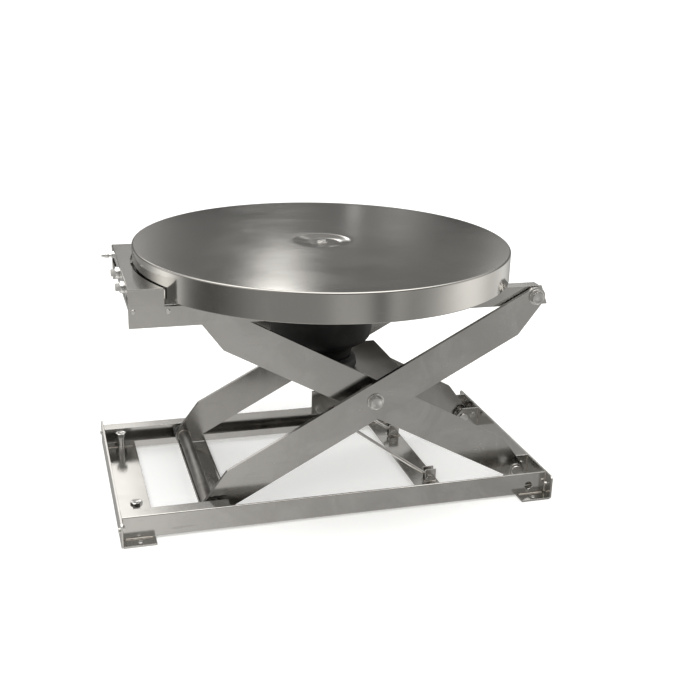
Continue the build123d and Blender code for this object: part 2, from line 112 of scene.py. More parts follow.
# A shader value that can be added, multiplied and so on
class Wire:
    def __init__(self, bench, socket):
        self.bench = bench
        self.socket = socket

    def maths(self, operation, *values):
        return self.bench.node("ShaderNodeMath", {"operation": operation}, values)

    def __add__(self, other):
        return self.maths("ADD", self, other)

    def __sub__(self, other):
        return self.maths("SUBTRACT", self, other)

    def __rsub__(self, other):
        return self.maths("SUBTRACT", other, self)

    def __mul__(self, other):
        return self.maths("MULTIPLY", self, other)

    def __truediv__(self, other):
        return self.maths("DIVIDE", self, other)

    __radd__ = __add__
    __rmul__ = __mul__

    def clamp(self):
        return self.bench.node("ShaderNodeClamp", {}, (self, 0.0, 1.0))

    # 0 below low, 1 above high, smooth between
    def step(self, low, high):
        smooth = {"interpolation_type": "SMOOTHSTEP"}
        return self.bench.node("ShaderNodeMapRange", smooth, (self, low, high, 0.0, 1.0))

    # A soft bump of height 1 at the middle
    def bump(self, middle, width):
        away = (self - middle) / width
        return self.maths("EXPONENT", away * away * -1.0)


class Bench:
    def __init__(self, tree):
        self.tree = tree

    def node(self, kind, settings=None, values=(), out=0):
        made = self.tree.nodes.new(kind)
        for key, value in (settings or {}).items():
            setattr(made, key, value)
        pairs = values.items() if isinstance(values, dict) else enumerate(values)
        for key, value in pairs:
            if isinstance(value, Wire):
                self.tree.links.new(value.socket, made.inputs[key])
            else:
                made.inputs[key].default_value = value
        return Wire(self, made.outputs[out]) if made.outputs else None

    def split(self, vector):
        made = self.node("ShaderNodeSeparateXYZ", {}, (vector,))
        return [Wire(self, socket) for socket in made.socket.node.outputs]

    def mix(self, share, *colours):
        first, second = ((*colour, 1) if isinstance(colour, tuple) else colour for colour in colours)
        return self.node("ShaderNodeMix", {"data_type": "RGBA"}, {0: share, 6: first, 7: second}, out=2)

    def noise(self, vector, scale, detail, more=None):
        values = {"Vector": vector, "Scale": scale, "Detail": detail, **(more or {})}
        return self.node("ShaderNodeTexNoise", {}, values)

    def bumps(self, height):
        return self.node("ShaderNodeBump", {}, {"Height": height, "Strength": 1.0, "Distance": 1.0})


# The light that the metal mirrors: azimuth from +Y towards +X and elevation, in degrees, then widths and strength
room = {
    "backdrop": (1.0, 1.0, 0.99),
    "above": 0.165,
    "below": 0.40,
    "overhead": (38, 62, 2.2),   # starts, full at, strength
    "underfoot": (40, 62, 0.5),
    "horizon": (-12, 6),
    "tint": (1.0, 0.985, 0.955),
    "strength": 1.0,
    "glows": [
        (12.9, 19.2, 1.5, 2.7, 5.5),     # bloom at the front of the table
        (5.4, 13.2, 1.8, 1.6, 0.28),     # left edge of the table
        (19.4, 12.3, 1.5, 0.9, 0.34),    # pale patch at the back
        (17.0, 12.3, 0.4, 0.5, 0.9),
        (25.4, 14.8, 1.6, 1.6, 0.34),    # right edge
        (23.2, 12.0, 1.6, 0.9, -0.16),   # dark patch at the back
        (9.5, 11.2, 3.5, 0.9, -0.12),
        (-12.0, 27.0, 14.0, 8.0, 1.5),   # edges of the legs
        (60.0, 40.0, 40.0, 18.0, 0.9),
        (-80.0, 45.0, 40.0, 22.0, 1.2),
        (165.0, 55.0, 60.0, 20.0, 1.0),
        (-120.0, 10.0, 25.0, 14.0, 0.8),
        (100.0, 5.0, 22.0, 18.0, 0.7),
        (172.0, -24.0, 9.0, 9.0, 0.28),
        (150.0, -14.0, 7.0, 6.0, 0.20),
        (3.6, 25.8, 1.6, 3.0, 1.7),      # flat parts at the base's left end
        (4.6, 15.6, 1.1, 1.6, 0.45),     # top of the control box
        (5.0, 22.4, 3.0, 0.9, 1.2),      # top of the far rail
        (4.3, 29.6, 2.0, 1.2, 2.0),      # near foot plate
        (176.0, -28.0, 2.5, 5.0, 0.7),   # left end of the near rail
        (26.2, 16.6, 1.4, 0.8, 1.6),     # right end of the beam
        (26.3, 27.0, 2.0, 1.8, 2.0),     # right foot plate
        (20.3, 25.1, 1.2, 1.2, 0.9),     # middle cross plate
        (18.4, 22.1, 1.0, 0.9, 1.8),     # centre bolt
        (-3.0, 29.5, 5.0, 3.0, 2.2),     # upper end of the near leg
        (-60.5, -15.5, 13.0, 5.0, 1.35), # round the table's skirt, from left to right
        (-60.5, 15.5, 13.0, 6.0, 2.4),   # the same by way of the control box
        (-97.0, -16.3, 24.0, 5.0, -0.30),
        (-176.0, -17.0, 8.0, 3.0, 0.20),
        (161.0, -16.8, 6.0, 2.5, -0.18),
        (97.0, -16.0, 24.0, 6.0, 0.95),
        (57.0, -15.0, 15.0, 6.0, 0.60),
    ],
}


def makeRoom(values):
    world = bpy.data.worlds.new("studio")
    world.use_nodes = True
    scene.world = world
    tree = world.node_tree
    tree.nodes.clear()
    bench = Bench(tree)
    x, y, z = bench.split(bench.node("ShaderNodeTexCoord"))
    azimuth = x.maths("ARCTAN2", x, y) * (180 / math.pi)
    elevation = z.maths("ARCSINE", z) * (180 / math.pi)
    light = elevation.step(*values["horizon"]) * (values["above"] - values["below"]) + values["below"]
    for height, (start, full, strength) in ((elevation, values["overhead"]), (elevation * -1.0, values["underfoot"])):
        light = light + height.step(start, full) * strength
    for across, high, wide, tall, strength in values["glows"]:
        turned = azimuth - across
        turned = turned - turned.maths("ROUND", turned / 360) * 360
        light = light + turned.bump(0, wide) * elevation.bump(high, tall) * strength
    mirrored = bench.node("ShaderNodeLightPath", out=3)  # only the metal's reflections see the room
    tint = bench.node("ShaderNodeCombineColor", {}, [light * share for share in values["tint"]])
    colour = bench.mix(mirrored, values["backdrop"], tint)
    shine = bench.node("ShaderNodeBackground", {}, {"Color": colour, "Strength": values["strength"]})
    bench.node("ShaderNodeOutputWorld", {}, (shine,))
    world.cycles.sampling_method = "NONE"


makeRoom(room)

lamps = {
    "overhead": {"at": (-0.4, -0.6, 3.4), "aim": (0, 0, 0.2), "size": 2.2, "power": 45},
    "front": {"at": (-2.6, -3.2, 2.4), "aim": (0, 0, 0.3), "size": 2.2, "power": 18},
    "behind": {"at": (2.2, 2.6, 2.6), "aim": (0, 0, 0.3), "size": 2.2, "power": 12},
}


def makeLamps(values):
    for name, lamp in values.items():
        data = bpy.data.lights.new(name, "AREA")
        data.shape = "DISK"
        data.size = lamp["size"]
        data.energy = lamp["power"]
        light = bpy.data.objects.new(name, data)
        light.location = lamp["at"]
        aim = Vector(lamp["aim"]) - Vector(lamp["at"])
        light.rotation_euler = aim.to_track_quat("-Z", "Y").to_euler()
        light.visible_glossy = False
        light.visible_camera = False
        scene.collection.objects.link(light)


makeLamps(lamps)
print("room and lamps set")


# Surfaces worked out with numpy; each shape gives its points and faces

def makePiece(name, parts, body, slot, replaced=(), sharpAngle=32):
    points, faces, count = [], [], 0
    for partPoints, partFaces in parts:
        flat = np.asarray(partPoints, float).reshape(-1, 3)
        points.append(flat)
        faces += [[corner + count for corner in face] for face in partFaces]
        count += len(flat)
    mesh = bpy.data.meshes.new(name)
    mesh.from_pydata(np.concatenate(points).tolist(), [], faces)
    mesh.update()
    mesh.shade_smooth()
    mesh.set_sharp_from_angle(angle=math.radians(sharpAngle))
    piece = bpy.data.objects.new(name, mesh)
    scene.collection.objects.link(piece)
    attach(piece, body)
    if replaced:
        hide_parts(*replaced)
    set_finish(piece, slot)
    return piece


# Quads between the rows of a grid whose columns close on themselves; the ends are capped, or joined to each other
def ringFaces(points, joined=False):
    rows, columns = points.shape[:2]
    row, column = np.meshgrid(np.arange(rows if joined else rows - 1), np.arange(columns), indexing="ij")
    after, beside = (row + 1) % rows, (column + 1) % columns
    corners = [row * columns + column, row * columns + beside, after * columns + beside, after * columns + column]
    faces = np.stack(corners, -1).reshape(-1, 4)
    # The sign of the enclosed volume, summed over the quads, says whether the grid is inside out
    flat = points.reshape(-1, 3) - points.reshape(-1, 3).mean(0)
    a, b, c, d = (flat[faces[:, i]] for i in range(4))
    volume = np.einsum("ij,ij->i", a, np.cross(b, c) + np.cross(c, d)).sum()
    faces = faces.tolist()
    if not joined:
        faces += [np.arange(columns)[::-1].tolist(), (np.arange(columns) + (rows - 1) * columns).tolist()]
    return faces if volume > 0 else [face[::-1] for face in faces]


# A unit axis and two unit vectors square to it
def squareTo(axis):
    axis = np.array(axis, float) / np.linalg.norm(axis)
    side = np.cross(axis, (0, 0, 1) if abs(axis[2]) < 0.9 else (1, 0, 0))
    side /= np.linalg.norm(side)
    return axis, side, np.cross(axis, side)


def circleAbout(axis, steps):
    axis, side, other = squareTo(axis)
    angle = np.linspace(0, 2 * math.pi, steps, endpoint=False)
    return axis, angle, np.cos(angle)[:, None] * side + np.sin(angle)[:, None] * other


# Each corner of an outline gives way to a short curve: start, corner and end weighted by (1-t)^2, 2t(1-t) and t^2
def easedCorners(outline, radius, steps=4):
    corners = np.array(outline, float)
    toBefore, toAfter = np.roll(corners, 1, 0) - corners, np.roll(corners, -1, 0) - corners
    lengths = [np.maximum(np.linalg.norm(v, axis=1), 1e-9) for v in (toBefore, toAfter)]
    shares = [np.minimum(radius / length, 0.45)[:, None] for length in lengths]
    t = np.linspace(0, 1, steps)[None, :, None]
    first, last = corners + toBefore * shares[0], corners + toAfter * shares[1]
    curve = first[:, None] * (1 - t) ** 2 + corners[:, None] * 2 * t * (1 - t) + last[:, None] * t ** 2
    return curve.reshape(-1, 2)


# A turned piece: an outline of radius and distance along the axis, carried round by cosine and sine
def turned(outline, centre, axis, steps=72, rounding=0.0006, joined=True):
    axis, angle, around = circleAbout(axis, steps)
    outline = easedCorners(outline, rounding) if joined else np.array(outline, float)
    points = np.array(centre) + outline[:, 1, None, None] * axis + outline[:, 0, None, None] * around[None]
    return points, ringFaces(points, joined)


# A solid turned piece, closed by small flat ends on the axis
def turnedSolid(outline, centre, axis, steps=72, rounding=0.0006):
    inside = easedCorners([(0.0001, outline[0][1]), *outline, (0.0001, outline[-1][1])], rounding)
    return turned(inside[2:-2], centre, axis, steps, joined=False)


# Shares of the width over the flats, and lengths in metres
hexValues = {
    "corner": 1.14, "coneFoot": 1.16, "coneRun": 0.12, "chamfer": 0.055, "coneRows": 7,
    "faceRim": 0.37, "faceFloor": 0.34, "faceDepth": 0.0003, "axis": 0.0005, "washerEdge": (0.0004, 0.0006, 0.0005),
}


# A hexagon's radius at an angle is its half width over the cosine of the angle to the nearest flat, held below the
# corner's rounding; up the chamfer the radius is the smaller of the hexagon and a cone
def hexHead(centre, axis, flats, height, washer=0.0, thick=0.0, steps=96, values=hexValues):
    axis, angle, around = circleAbout(axis, steps)
    offFlat = (angle + math.pi / 6) % (math.pi / 3) - math.pi / 6
    hexagon = np.minimum(flats / 2 / np.cos(offFlat), flats / 2 * values["corner"])
    top, drop = thick + height, flats * values["chamfer"]
    low, high, under = values["washerEdge"]
    rows = [(values["axis"], 0.0)]
    if washer:
        rows += [(washer - low, 0.0), (washer, low), (washer, thick - under), (washer - high, thick)]
    rows += [(hexagon, thick), (hexagon, top - drop)]
    for share in np.linspace(0, 1, values["coneRows"]):
        cone = flats / 2 * values["coneFoot"] - share * flats * values["coneRun"]
        rows.append((np.minimum(hexagon, cone), top - drop * (1 - share)))
    floor = top - values["faceDepth"]
    rows += [(flats * values["faceRim"], top), (flats * values["faceFloor"], floor), (values["axis"], floor)]
    radii = np.array([np.broadcast_to(radius, steps) for radius, place in rows])
    along = np.array([place for radius, place in rows])
    points = np.array(centre) + along[:, None, None] * axis + radii[:, :, None] * around[None]
    return points, ringFaces(points)


# A threaded rod: a triangle wave of height minus turns sets the radius, so the crest winds round once per pitch
def threadedRod(centre, axis, radius, length, pitch=0.0025, steps=40):
    axis, angle, around = circleAbout(axis, steps)
    along = np.linspace(0, length, int(length / pitch * 9))
    phase = (along[:, None] / pitch - angle[None] / (2 * math.pi)) % 1
    ends = np.clip(np.minimum(along, length - along) / pitch, 0, 1)[:, None]
    size = radius - pitch * 0.3 * (1 - np.abs(2 * phase - 1)) * ends
    points = np.array(centre) + along[:, None, None] * axis + size[:, :, None] * around[None]
    return points, ringFaces(points)


# A weld bead: a round section carried along a line or a circle; its radius swells with the sine of the distance, once
# per ripple, wavers slowly, and tapers at the ends by a square root, and each ripple leans back at the top
def weldBead(start, end=None, up=(0, 0, 1), ring=None, size=0.0026, ripple=0.0022, seed=1):
    random = np.random.default_rng(seed)
    if ring:
        radius, axis = ring
        length = 2 * math.pi * radius
        count = int(length / ripple) * 5
        axis, turn, upAll = circleAbout(axis, count)
        along = turn * radius
        ahead = np.cross(axis, upAll)
        line = np.array(start) + upAll * radius
        side = np.broadcast_to(axis, upAll.shape)
        waver = 0.10 * np.sin(turn * 3 + seed) + 0.06 * np.sin(turn * 7)
        ends = np.ones(count)
    else:
        start, end = np.array(start, float), np.array(end, float)
        length = np.linalg.norm(end - start)
        count = max(10, int(length / ripple) * 5)
        along = np.linspace(0, length, count)
        ahead = np.broadcast_to((end - start) / length, (count, 3))
        upAll = np.broadcast_to(np.array(up, float) / np.linalg.norm(up), (count, 3))
        side = np.cross(ahead, upAll)
        line = start + along[:, None] * ahead
        waver = np.interp(along, np.linspace(0, length, 11), random.normal(0, 0.11, 11))
        ends = 0.2 + 0.8 * np.minimum(np.minimum(along, length - along) / (size * 1.6), 1) ** 0.5
    width = size * ends * (1 + waver + 0.13 * np.abs(np.sin(along * math.pi / ripple)))
    angle = np.linspace(0, 2 * math.pi, 10, endpoint=False)
    lean = -0.4 * ripple * np.clip(np.cos(angle), 0, 1)
    section = np.cos(angle)[None, :, None] * upAll[:, None] + np.sin(angle)[None, :, None] * side[:, None]
    points = line[:, None] + width[:, None, None] * section + lean[None, :, None] * ahead[:, None]
    return points, ringFaces(points, joined=bool(ring))


# The turntable

tableValues = {
    "centre": 0.005, "top": 0.7455, "radius": 0.555, "sheet": 0.005, "skirt": 0.083, "edge": 0.0045,
    "dishFloor": 0.045, "dishRim": 0.090, "dishDepth": 0.0055,
    "bore": 0.004, "cutEdge": 0.0012, "hold": 0.001, "bend": 0.004,
    "sway": 0.0005,  # how far the sheet is from flat
    "calm": (0.16, 0.01),  # the sway fades over this much, and ends this far from the rim
    "steps": 288,
}


# A revolved sheet. The height at a radius is a smooth step across the dish, plus slow waves of radius and angle; the
# rim is a quarter circle by cosine and sine, and the underside repeats the top one thickness lower
def makeTable(values):
    radius, edge, top, sheet = values["radius"], values["edge"], values["top"], values["sheet"]
    floor, rim, foot = values["dishFloor"], values["dishRim"], values["top"] - values["skirt"]
    cut, hold, bend = values["cutEdge"], values["hold"], values["bend"]
    flat = [np.linspace(values["bore"], floor, 6), np.linspace(floor, rim, 14)[1:]]
    out = np.concatenate([*flat, np.linspace(rim, radius - edge - hold, 28)[1:], [radius - edge]])
    share = np.clip((out - floor) / (rim - floor), 0, 1)
    height = top - values["dishDepth"] * (1 - share * share * (3 - 2 * share))
    turn = np.linspace(math.pi / 2, 0, 7)[1:]
    inner = radius - sheet
    outline = np.concatenate([
        np.stack([out, height], 1),
        np.stack([radius - edge + edge * np.cos(turn), top - edge + edge * np.sin(turn)], 1),
        [[radius, top - edge - hold], [radius, foot + cut + hold]],
        [[radius, foot + cut], [radius - cut, foot], [inner + cut, foot], [inner, foot + cut]],
        [[inner, top - sheet - bend], [inner - bend, top - sheet]],
        np.stack([out, height - sheet], 1)[::-1][1:],
    ])
    angle = np.linspace(0, 2 * math.pi, values["steps"], endpoint=False)
    r, z = outline[:, 0, None], outline[:, 1, None]
    fade, margin = values["calm"]
    inField = np.clip((r - rim) / fade, 0, 1) * np.clip((radius - margin - r) / fade, 0, 1)
    waves = np.sin(3 * angle + 1.2 + r * 4) * np.sin(r * 8) + 0.6 * np.sin(2 * angle + r * 11)
    z = z + values["sway"] * (waves - 1.6) / 2 * inField * inField * (3 - 2 * inField)
    points = np.stack([values["centre"] + r * np.cos(angle), r * np.sin(angle), z], -1)
    part = points, ringFaces(points, joined=True)
    return makePiece("tableDisc", [part], "turntable", "table_steel", ["turntable_disc"], 50)


tableDisc = makeTable(tableValues)
hubValues = {"at": (0.005, 0, 0.7400), "flats": 0.024, "height": 0.0037, "washer": 0.017, "thick": 0.0015}


def makeHubHead(values):
    head = hexHead(values["at"], (0, 0, 1), values["flats"], values["height"], values["washer"], values["thick"])
    return makePiece("hubHead", [head], "turntable", "bright_fasteners", ["hub_bolt"])


hubHead = makeHubHead(hubValues)
print("turntable made")


# The air spring

bagValues = {
    "centre": 0.005, "low": 0.3945, "high": 0.6940, "keep": 0.04, "steps": 144, "rows": 110,
    "lobe": [  # radius, and height above the low end
        (0.092, 0.0), (0.095, 0.010), (0.101, 0.028), (0.115, 0.042), (0.135, 0.050),
        (0.149, 0.062), (0.1540, 0.082), (0.1550, 0.125), (0.1555, 0.180),
    ],
    "crown": [  # radius, and depth below the high end
        (0.1545, 0.060), (0.151, 0.038), (0.141, 0.020), (0.126, 0.010),
        (0.117, 0.007), (0.114, 0.003), (0.113, 0.0),
    ],
    "ribs": 36, "ribDepth": 0.0006, "swell": (0.0007, 0.0004),
}


# A rolling lobe: a smooth cubic runs through the outline's points from the neck, out under the lobe and up the barrel
# to the bead; fine ribs take away a sine of the angle, and slow swells of height and angle are added to the radius
def makeBag(values):
    low, high = values["low"], values["high"]
    lobe = [(radius, low + height) for radius, height in values["lobe"]]
    crown = [(radius, high - depth) for radius, depth in values["crown"]]
    knots = np.array(lobe + crown)
    t = np.linspace(0, len(knots) - 1.001, values["rows"])
    i = t.astype(int)
    f = (t - i)[:, None]
    p0, p1 = knots[np.maximum(i - 1, 0)], knots[i]
    p2, p3 = knots[i + 1], knots[np.minimum(i + 2, len(knots) - 1)]
    bow, twist = 2 * p0 - 5 * p1 + 4 * p2 - p3, 3 * p1 - p0 - 3 * p2 + p3
    outline = 0.5 * (2 * p1 + (p2 - p0) * f + bow * f ** 2 + twist * f ** 3)
    angle = np.linspace(0, 2 * math.pi, values["steps"], endpoint=False)[None]
    r, z = outline[:, 0, None], outline[:, 1, None]
    share = (z - low) / (high - low)
    wide, fine = values["swell"]
    swell = wide * np.sin(angle * 2 + 1.0) * np.sin(share * math.pi) + fine * np.sin(share * 22 + angle)
    onBarrel = np.clip((share - 0.12) * 8, 0, 1) * np.clip((0.94 - share) * 12, 0, 1)
    r = r + swell - values["ribDepth"] * np.abs(np.sin(angle * values["ribs"])) * onBarrel
    points = np.stack([values["centre"] + r * np.cos(angle), r * np.sin(angle), np.broadcast_to(z, r.shape)], -1)
    bag = makePiece("airBag", [(points, ringFaces(points))], "top_frame", "bag_rubber", ["air_spring_bellows"], 60)
    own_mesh(bag)
    return bag


airBag = makeBag(bagValues)
print("air spring made")


# Bolts and stops

boltValues = {
    "centre": (0.100, 0.328), "topPivot": (0.583, 0.616), "legOutside": 0.270, "play": 0.0004,
    "flats": 0.036, "height": 0.012, "thick": 0.003, "centreWasher": 0.025, "pivotWasher": 0.023,
    "pin": (0.2406, 0.0125), "collar": (0.2529, 0.020, 0.0051),  # starts, radius, length
    "stopAt": (-0.588, 0.245), "stopFlats": 0.030, "stopHeight": 0.0125, "stopHead": 0.065,
    "stopRod": (0.011, 0.010, 0.0545),  # starts, radius, length
}


def makeBolts(values):
    outside, flats, height, thick = (values[key] for key in ("legOutside", "flats", "height", "thick"))
    pinStart, pinRadius = values["pin"]
    collarStart, collarRadius, collarLength = values["collar"]
    rodStart, rodRadius, rodLength = values["stopRod"]
    centreHeads, pivotBolts, stops = [], [], []
    for side in (-1, 1):
        axis = (0, side, 0)
        x, z = values["centre"]
        at = (x, side * (outside + values["play"]), z)
        centreHeads.append(hexHead(at, axis, flats, height, values["centreWasher"], thick))
        x, z = values["topPivot"]
        pin = [(pinRadius, 0), (pinRadius, outside - pinStart)]
        collar = [(collarRadius, 0), (collarRadius, collarLength)]
        pivotBolts.append(turnedSolid(pin, (x, side * pinStart, z), axis))
        pivotBolts.append(turnedSolid(collar, (x, side * collarStart, z), axis))
        pivotBolts.append(hexHead((x, side * outside, z), axis, flats, height, values["pivotWasher"], thick))
        x, y = values["stopAt"]
        stops.append(threadedRod((x, side * y, rodStart), (0, 0, 1), rodRadius, rodLength))
        stops.append(hexHead((x, side * y, values["stopHead"]), (0, 0, 1), values["stopFlats"], values["stopHeight"]))
    makePiece("centreHeads", centreHeads, "inner_legs", "bright_fasteners", ["centre_shaft_bolts"])
    makePiece("topPivotBolts", pivotBolts, "outer_legs", "bright_fasteners", ["top_pivot_bolts"])
    makePiece("stopBolts", stops, "base", "bright_fasteners", ["stop_bolts"])


makeBolts(boltValues)
print("bolts made")


# Controls: two push buttons in rings and the air plug; each outline is radius and distance from the face

controlValues = {
    "face": -0.5895, "height": 0.677, "buttons": {"lower": -0.155, "raise": -0.005}, "plug": (0.172, 0.684),
    "ring": [
        (0.0108, 0.0010), (0.0108, 0.0130), (0.0142, 0.0130), (0.0170, 0.0108), (0.0170, 0.0),
        (0.0090, 0.0), (0.0090, -0.0040), (0.0075, -0.0040), (0.0075, 0.0010),
    ],
    "cap": [
        (0.0071, -0.0014), (0.0071, 0.0076), (0.0105, 0.0076), (0.0105, 0.0220), (0.0098, 0.0235), (0.0088, 0.0233),
    ],
    "capRounding": 0.0005,
    "hollow": 0.0016,  # how deep a button's face is hollowed
    "plugBody": [
        (0.0032, -0.0160), (0.0070, -0.0160), (0.0070, 0.0), (0.0064, 0.0005), (0.0064, 0.0150), (0.0094, 0.0165),
        (0.0094, 0.0230), (0.0078, 0.0250), (0.0078, 0.0275), (0.0058, 0.0350), (0.0050, 0.0360), (0.0032, 0.0360),
    ],
    "plugFlats": 0.019, "plugNut": 0.0070,
}


def makeControls(values):
    face, toLeft = values["face"], (-1, 0, 0)
    rimRadius, rimPlace = values["cap"][-1]
    rings = []
    for name, y in values["buttons"].items():
        at = (face, y, values["height"])
        rings.append(turned(values["ring"], at, toLeft))
        # The face is hollowed by the square of the share of the radius
        hollow = [(rimRadius * r, rimPlace - values["hollow"] * (1 - r * r)) for r in (0.85, 0.7, 0.5, 0.3, 0.1)]
        cap = turnedSolid(values["cap"] + hollow, at, toLeft, rounding=values["capRounding"])
        makePiece(name + "Button", [cap], name + "_button", "button_caps", [name + "_button"])
    makePiece("buttonRings", rings, "top_frame", "control_chrome", ["button_bezels"])
    at = (face, *values["plug"])
    plug = [turned(values["plugBody"], at, toLeft), hexHead(at, toLeft, values["plugFlats"], values["plugNut"])]
    makePiece("airPlug", plug, "top_frame", "control_chrome", ["air_inlet"])


makeControls(controlValues)
print("controls made")


# Weld beads along the seams of each body

weldValues = {
    "size": 0.0026, "ripple": 0.0023,
    # Start, end, the way the bead faces, and its share of the size; the same again on the other side of the machine.
    # The corners' rows are those of the right end, and the left end mirrors them.
    "corners": [
        ((0.6365, 0.329, 0.009), (0.6365, 0.329, 0.071), (-1, 1, 0), 1.0),
        ((0.6365, 0.3235, 0.013), (0.6365, 0.3235, 0.066), (-1, -1, 0), 0.8),
        ((0.552, 0.329, 0.006), (0.632, 0.329, 0.006), (0, 1, 1), 1.0),
    ],
    "base": [
        ((0.6365, 0.197, 0.013), (0.6365, 0.197, 0.071), (-1, -1, 0), 0.8),
        ((0.6365, 0.203, 0.013), (0.6365, 0.203, 0.071), (-1, 1, 0), 0.8),
        ((-0.632, 0.2785, 0.011), (-0.545, 0.2785, 0.011), (0, -1, 1), 0.8),
        ((0.266, 0.2785, 0.011), (0.338, 0.2785, 0.011), (0, -1, 1), 0.8),
        ((0.295, 0.163, 0.0115), (0.337, 0.163, 0.0115), (0, -1, 1), 0.8),
        ((0.295, 0.191, 0.0115), (0.337, 0.191, 0.0115), (0, 1, 1), 0.8),
    ],
    "saddle": [((-0.062, 0.190, 0.345), (0.234, 0.190, 0.345), (0, -1, -1), 0.8)],
    # Middle, radius and share of the size
    "rings": {
        "outer_legs": [((-0.383, 0.2578, 0.040), 0.0185, 1.0), ((0.583, 0.2577, 0.616), 0.0200, 0.7)],
        "inner_legs": [((-0.383, 0.2198, 0.616), 0.0128, 0.7)],
    },
    "channels": (-0.432, -0.230, 0.232, 0.455), "channelHalf": 0.024, "channelSeam": (0.2345, 0.2455, 0.645, 0.8),
}


def makeWelds(values):
    seams = {"base": [], "outer_legs": [], "inner_legs": [], "top_frame": [], "saddle": []}
    ripple = values["ripple"]

    # Each seam's random draws start from its number on its body
    def seam(body, turn, start, end, up, share):
        start, end, up = (np.array(place) * turn for place in (start, end, up))
        seed = len(seams[body]) + 3
        seams[body].append(weldBead(start, end, up, size=values["size"] * share, ripple=ripple, seed=seed))

    half = values["channelHalf"]
    inner, outer, height, share = values["channelSeam"]
    for y in (-1, 1):
        for x in (-1, 1):
            for row in values["corners"]:
                seam("base", (x, y, 1), *row)
        for body in ("base", "saddle"):
            for row in values[body]:
                seam(body, (1, y, 1), *row)
        for body, rows in values["rings"].items():
            for (middleX, middleY, middleZ), radius, size in rows:
                centre = (middleX, y * middleY, middleZ)
                bead = weldBead(centre, ring=(radius, (0, 1, 0)), size=values["size"] * size, ripple=ripple)
                seams[body].append(bead)
        for x in values["channels"]:
            for edge in (-1, 1):
                place = x + edge * half
                seam("top_frame", (1, y, 1), (place, inner, height), (place, outer, height), (edge, 0, 1), share)
    for body, beads in seams.items():
        makePiece("welds_" + body, beads, body, "frame_steel", sharpAngle=70)


makeWelds(weldValues)
print("welds made")


# Finishes

def newFinish(name):
    material = bpy.data.materials.new(name)
    material.use_nodes = True
    tree = material.node_tree
    shader = tree.nodes["Principled BSDF"]
    return material, Bench(tree), shader


def link(bench, wire, shader, socket):
    bench.tree.links.new(wire.socket, shader.inputs[socket])


# Marks that every rolled sheet has
sheetMarks = {
    "shares": (0.55, 0.30, 0.15),  # of smudge, grain and fine spots in the tone
    "grain": (3.0, 0.6),  # detail, roughness
    "smudge": (5.0, 0.62, 0.8), "smudgeFrom": 0.36, "smudgeTo": 0.68,  # detail, roughness, distortion
    "fine": (60.0, 3.0, 0.7), "fineDepth": 0.3,  # scale, detail, roughness
    "scratchTurn": (0.4, 0.9, 0.7), "scratchStretch": (9.0, 420.0, 120.0),
    "scratchFrom": 0.69, "scratchTo": 0.73, "scratchDull": 0.06, "scratchDepth": 0.000002,
}


# Rolled stainless sheet: fine grain runs along the piece, wiped smudges and faint scratches change the gloss, and a
# slow swell bends what the sheet mirrors
def rolledSteel(name, values, marks=sheetMarks):
    material, bench, shader = newFinish(name)
    shader.inputs["Metallic"].default_value = 1.0
    place = bench.node("ShaderNodeTexCoord", out=3)
    lined = bench.node("ShaderNodeMapping", {}, {0: place, 2: values["turn"], 3: values["stretch"]})
    detail, rough = marks["grain"]
    grain = bench.noise(lined, 1.0, detail, {"Roughness": rough})
    detail, rough, bend = marks["smudge"]
    smudge = bench.noise(place, values["smudgeScale"], detail, {"Roughness": rough, "Distortion": bend})
    smudge = smudge.step(marks["smudgeFrom"], marks["smudgeTo"])
    scale, detail, rough = marks["fine"]
    fine = bench.noise(place, scale, detail, {"Roughness": rough})
    crossed = bench.node("ShaderNodeMapping", {}, {0: place, 2: marks["scratchTurn"], 3: marks["scratchStretch"]})
    scratch = bench.noise(crossed, 1.0, 1.0).step(marks["scratchFrom"], marks["scratchTo"])
    swell = bench.noise(place, values["swellScale"], 1.0)
    ofSmudge, ofGrain, ofFine = marks["shares"]
    tone = (smudge * ofSmudge + grain * ofGrain + fine * ofFine).clamp()
    link(bench, bench.mix(tone, values["dark"], values["light"]), shader, "Base Color")
    gloss = values["rough"] + (smudge - 0.5) * values["roughSmudge"] + (grain - 0.5) * values["roughGrain"]
    link(bench, (gloss + scratch * marks["scratchDull"]).clamp(), shader, "Roughness")
    height = swell * values["swell"] + (grain + fine * marks["fineDepth"]) * values["grainDepth"]
    link(bench, bench.bumps(height - scratch * marks["scratchDepth"]), shader, "Normal")
    return material


sheetValues = {
    "turn": (0.0, 0.0, 0.0), "stretch": (5.0, 900.0, 900.0), "smudgeScale": 7.0, "swellScale": 5.0,
    "dark": (0.50, 0.49, 0.47), "light": (0.62, 0.61, 0.59),
    "rough": 0.17, "roughSmudge": 0.05, "roughGrain": 0.05, "swell": 0.0009, "grainDepth": 0.000003,
}
legTilt = math.radians(28.36)
rising = {**sheetValues, "turn": (0.0, legTilt, 0.0), "rough": 0.20}
falling = {**sheetValues, "turn": (0.0, -legTilt, 0.0), "rough": 0.20}
# The far legs' colour is darker than the near legs': painted shade from under the table, on the same stainless
paintedShade = {"dark": (0.40, 0.39, 0.375), "light": (0.51, 0.50, 0.48)}
sheetAlongX = rolledSteel("sheetAlongX", sheetValues)
sheetAlongY = rolledSteel("sheetAlongY", {**sheetValues, "stretch": (900.0, 5.0, 900.0)})
legRising = rolledSteel("legRising", rising)
legFalling = rolledSteel("legFalling", falling)
legRisingFar = rolledSteel("legRisingFar", {**rising, **paintedShade})
legFallingFar = rolledSteel("legFallingFar", {**falling, **paintedShade})
# Deck plate, air spring head and saddle plate: their darker colour is painted shade from under the table, and the
# higher roughness is a duller finish
deckSteel = rolledSteel("deckSteel", {
    **sheetValues, "dark": (0.30, 0.29, 0.28), "light": (0.46, 0.45, 0.44), "rough": 0.34,
})
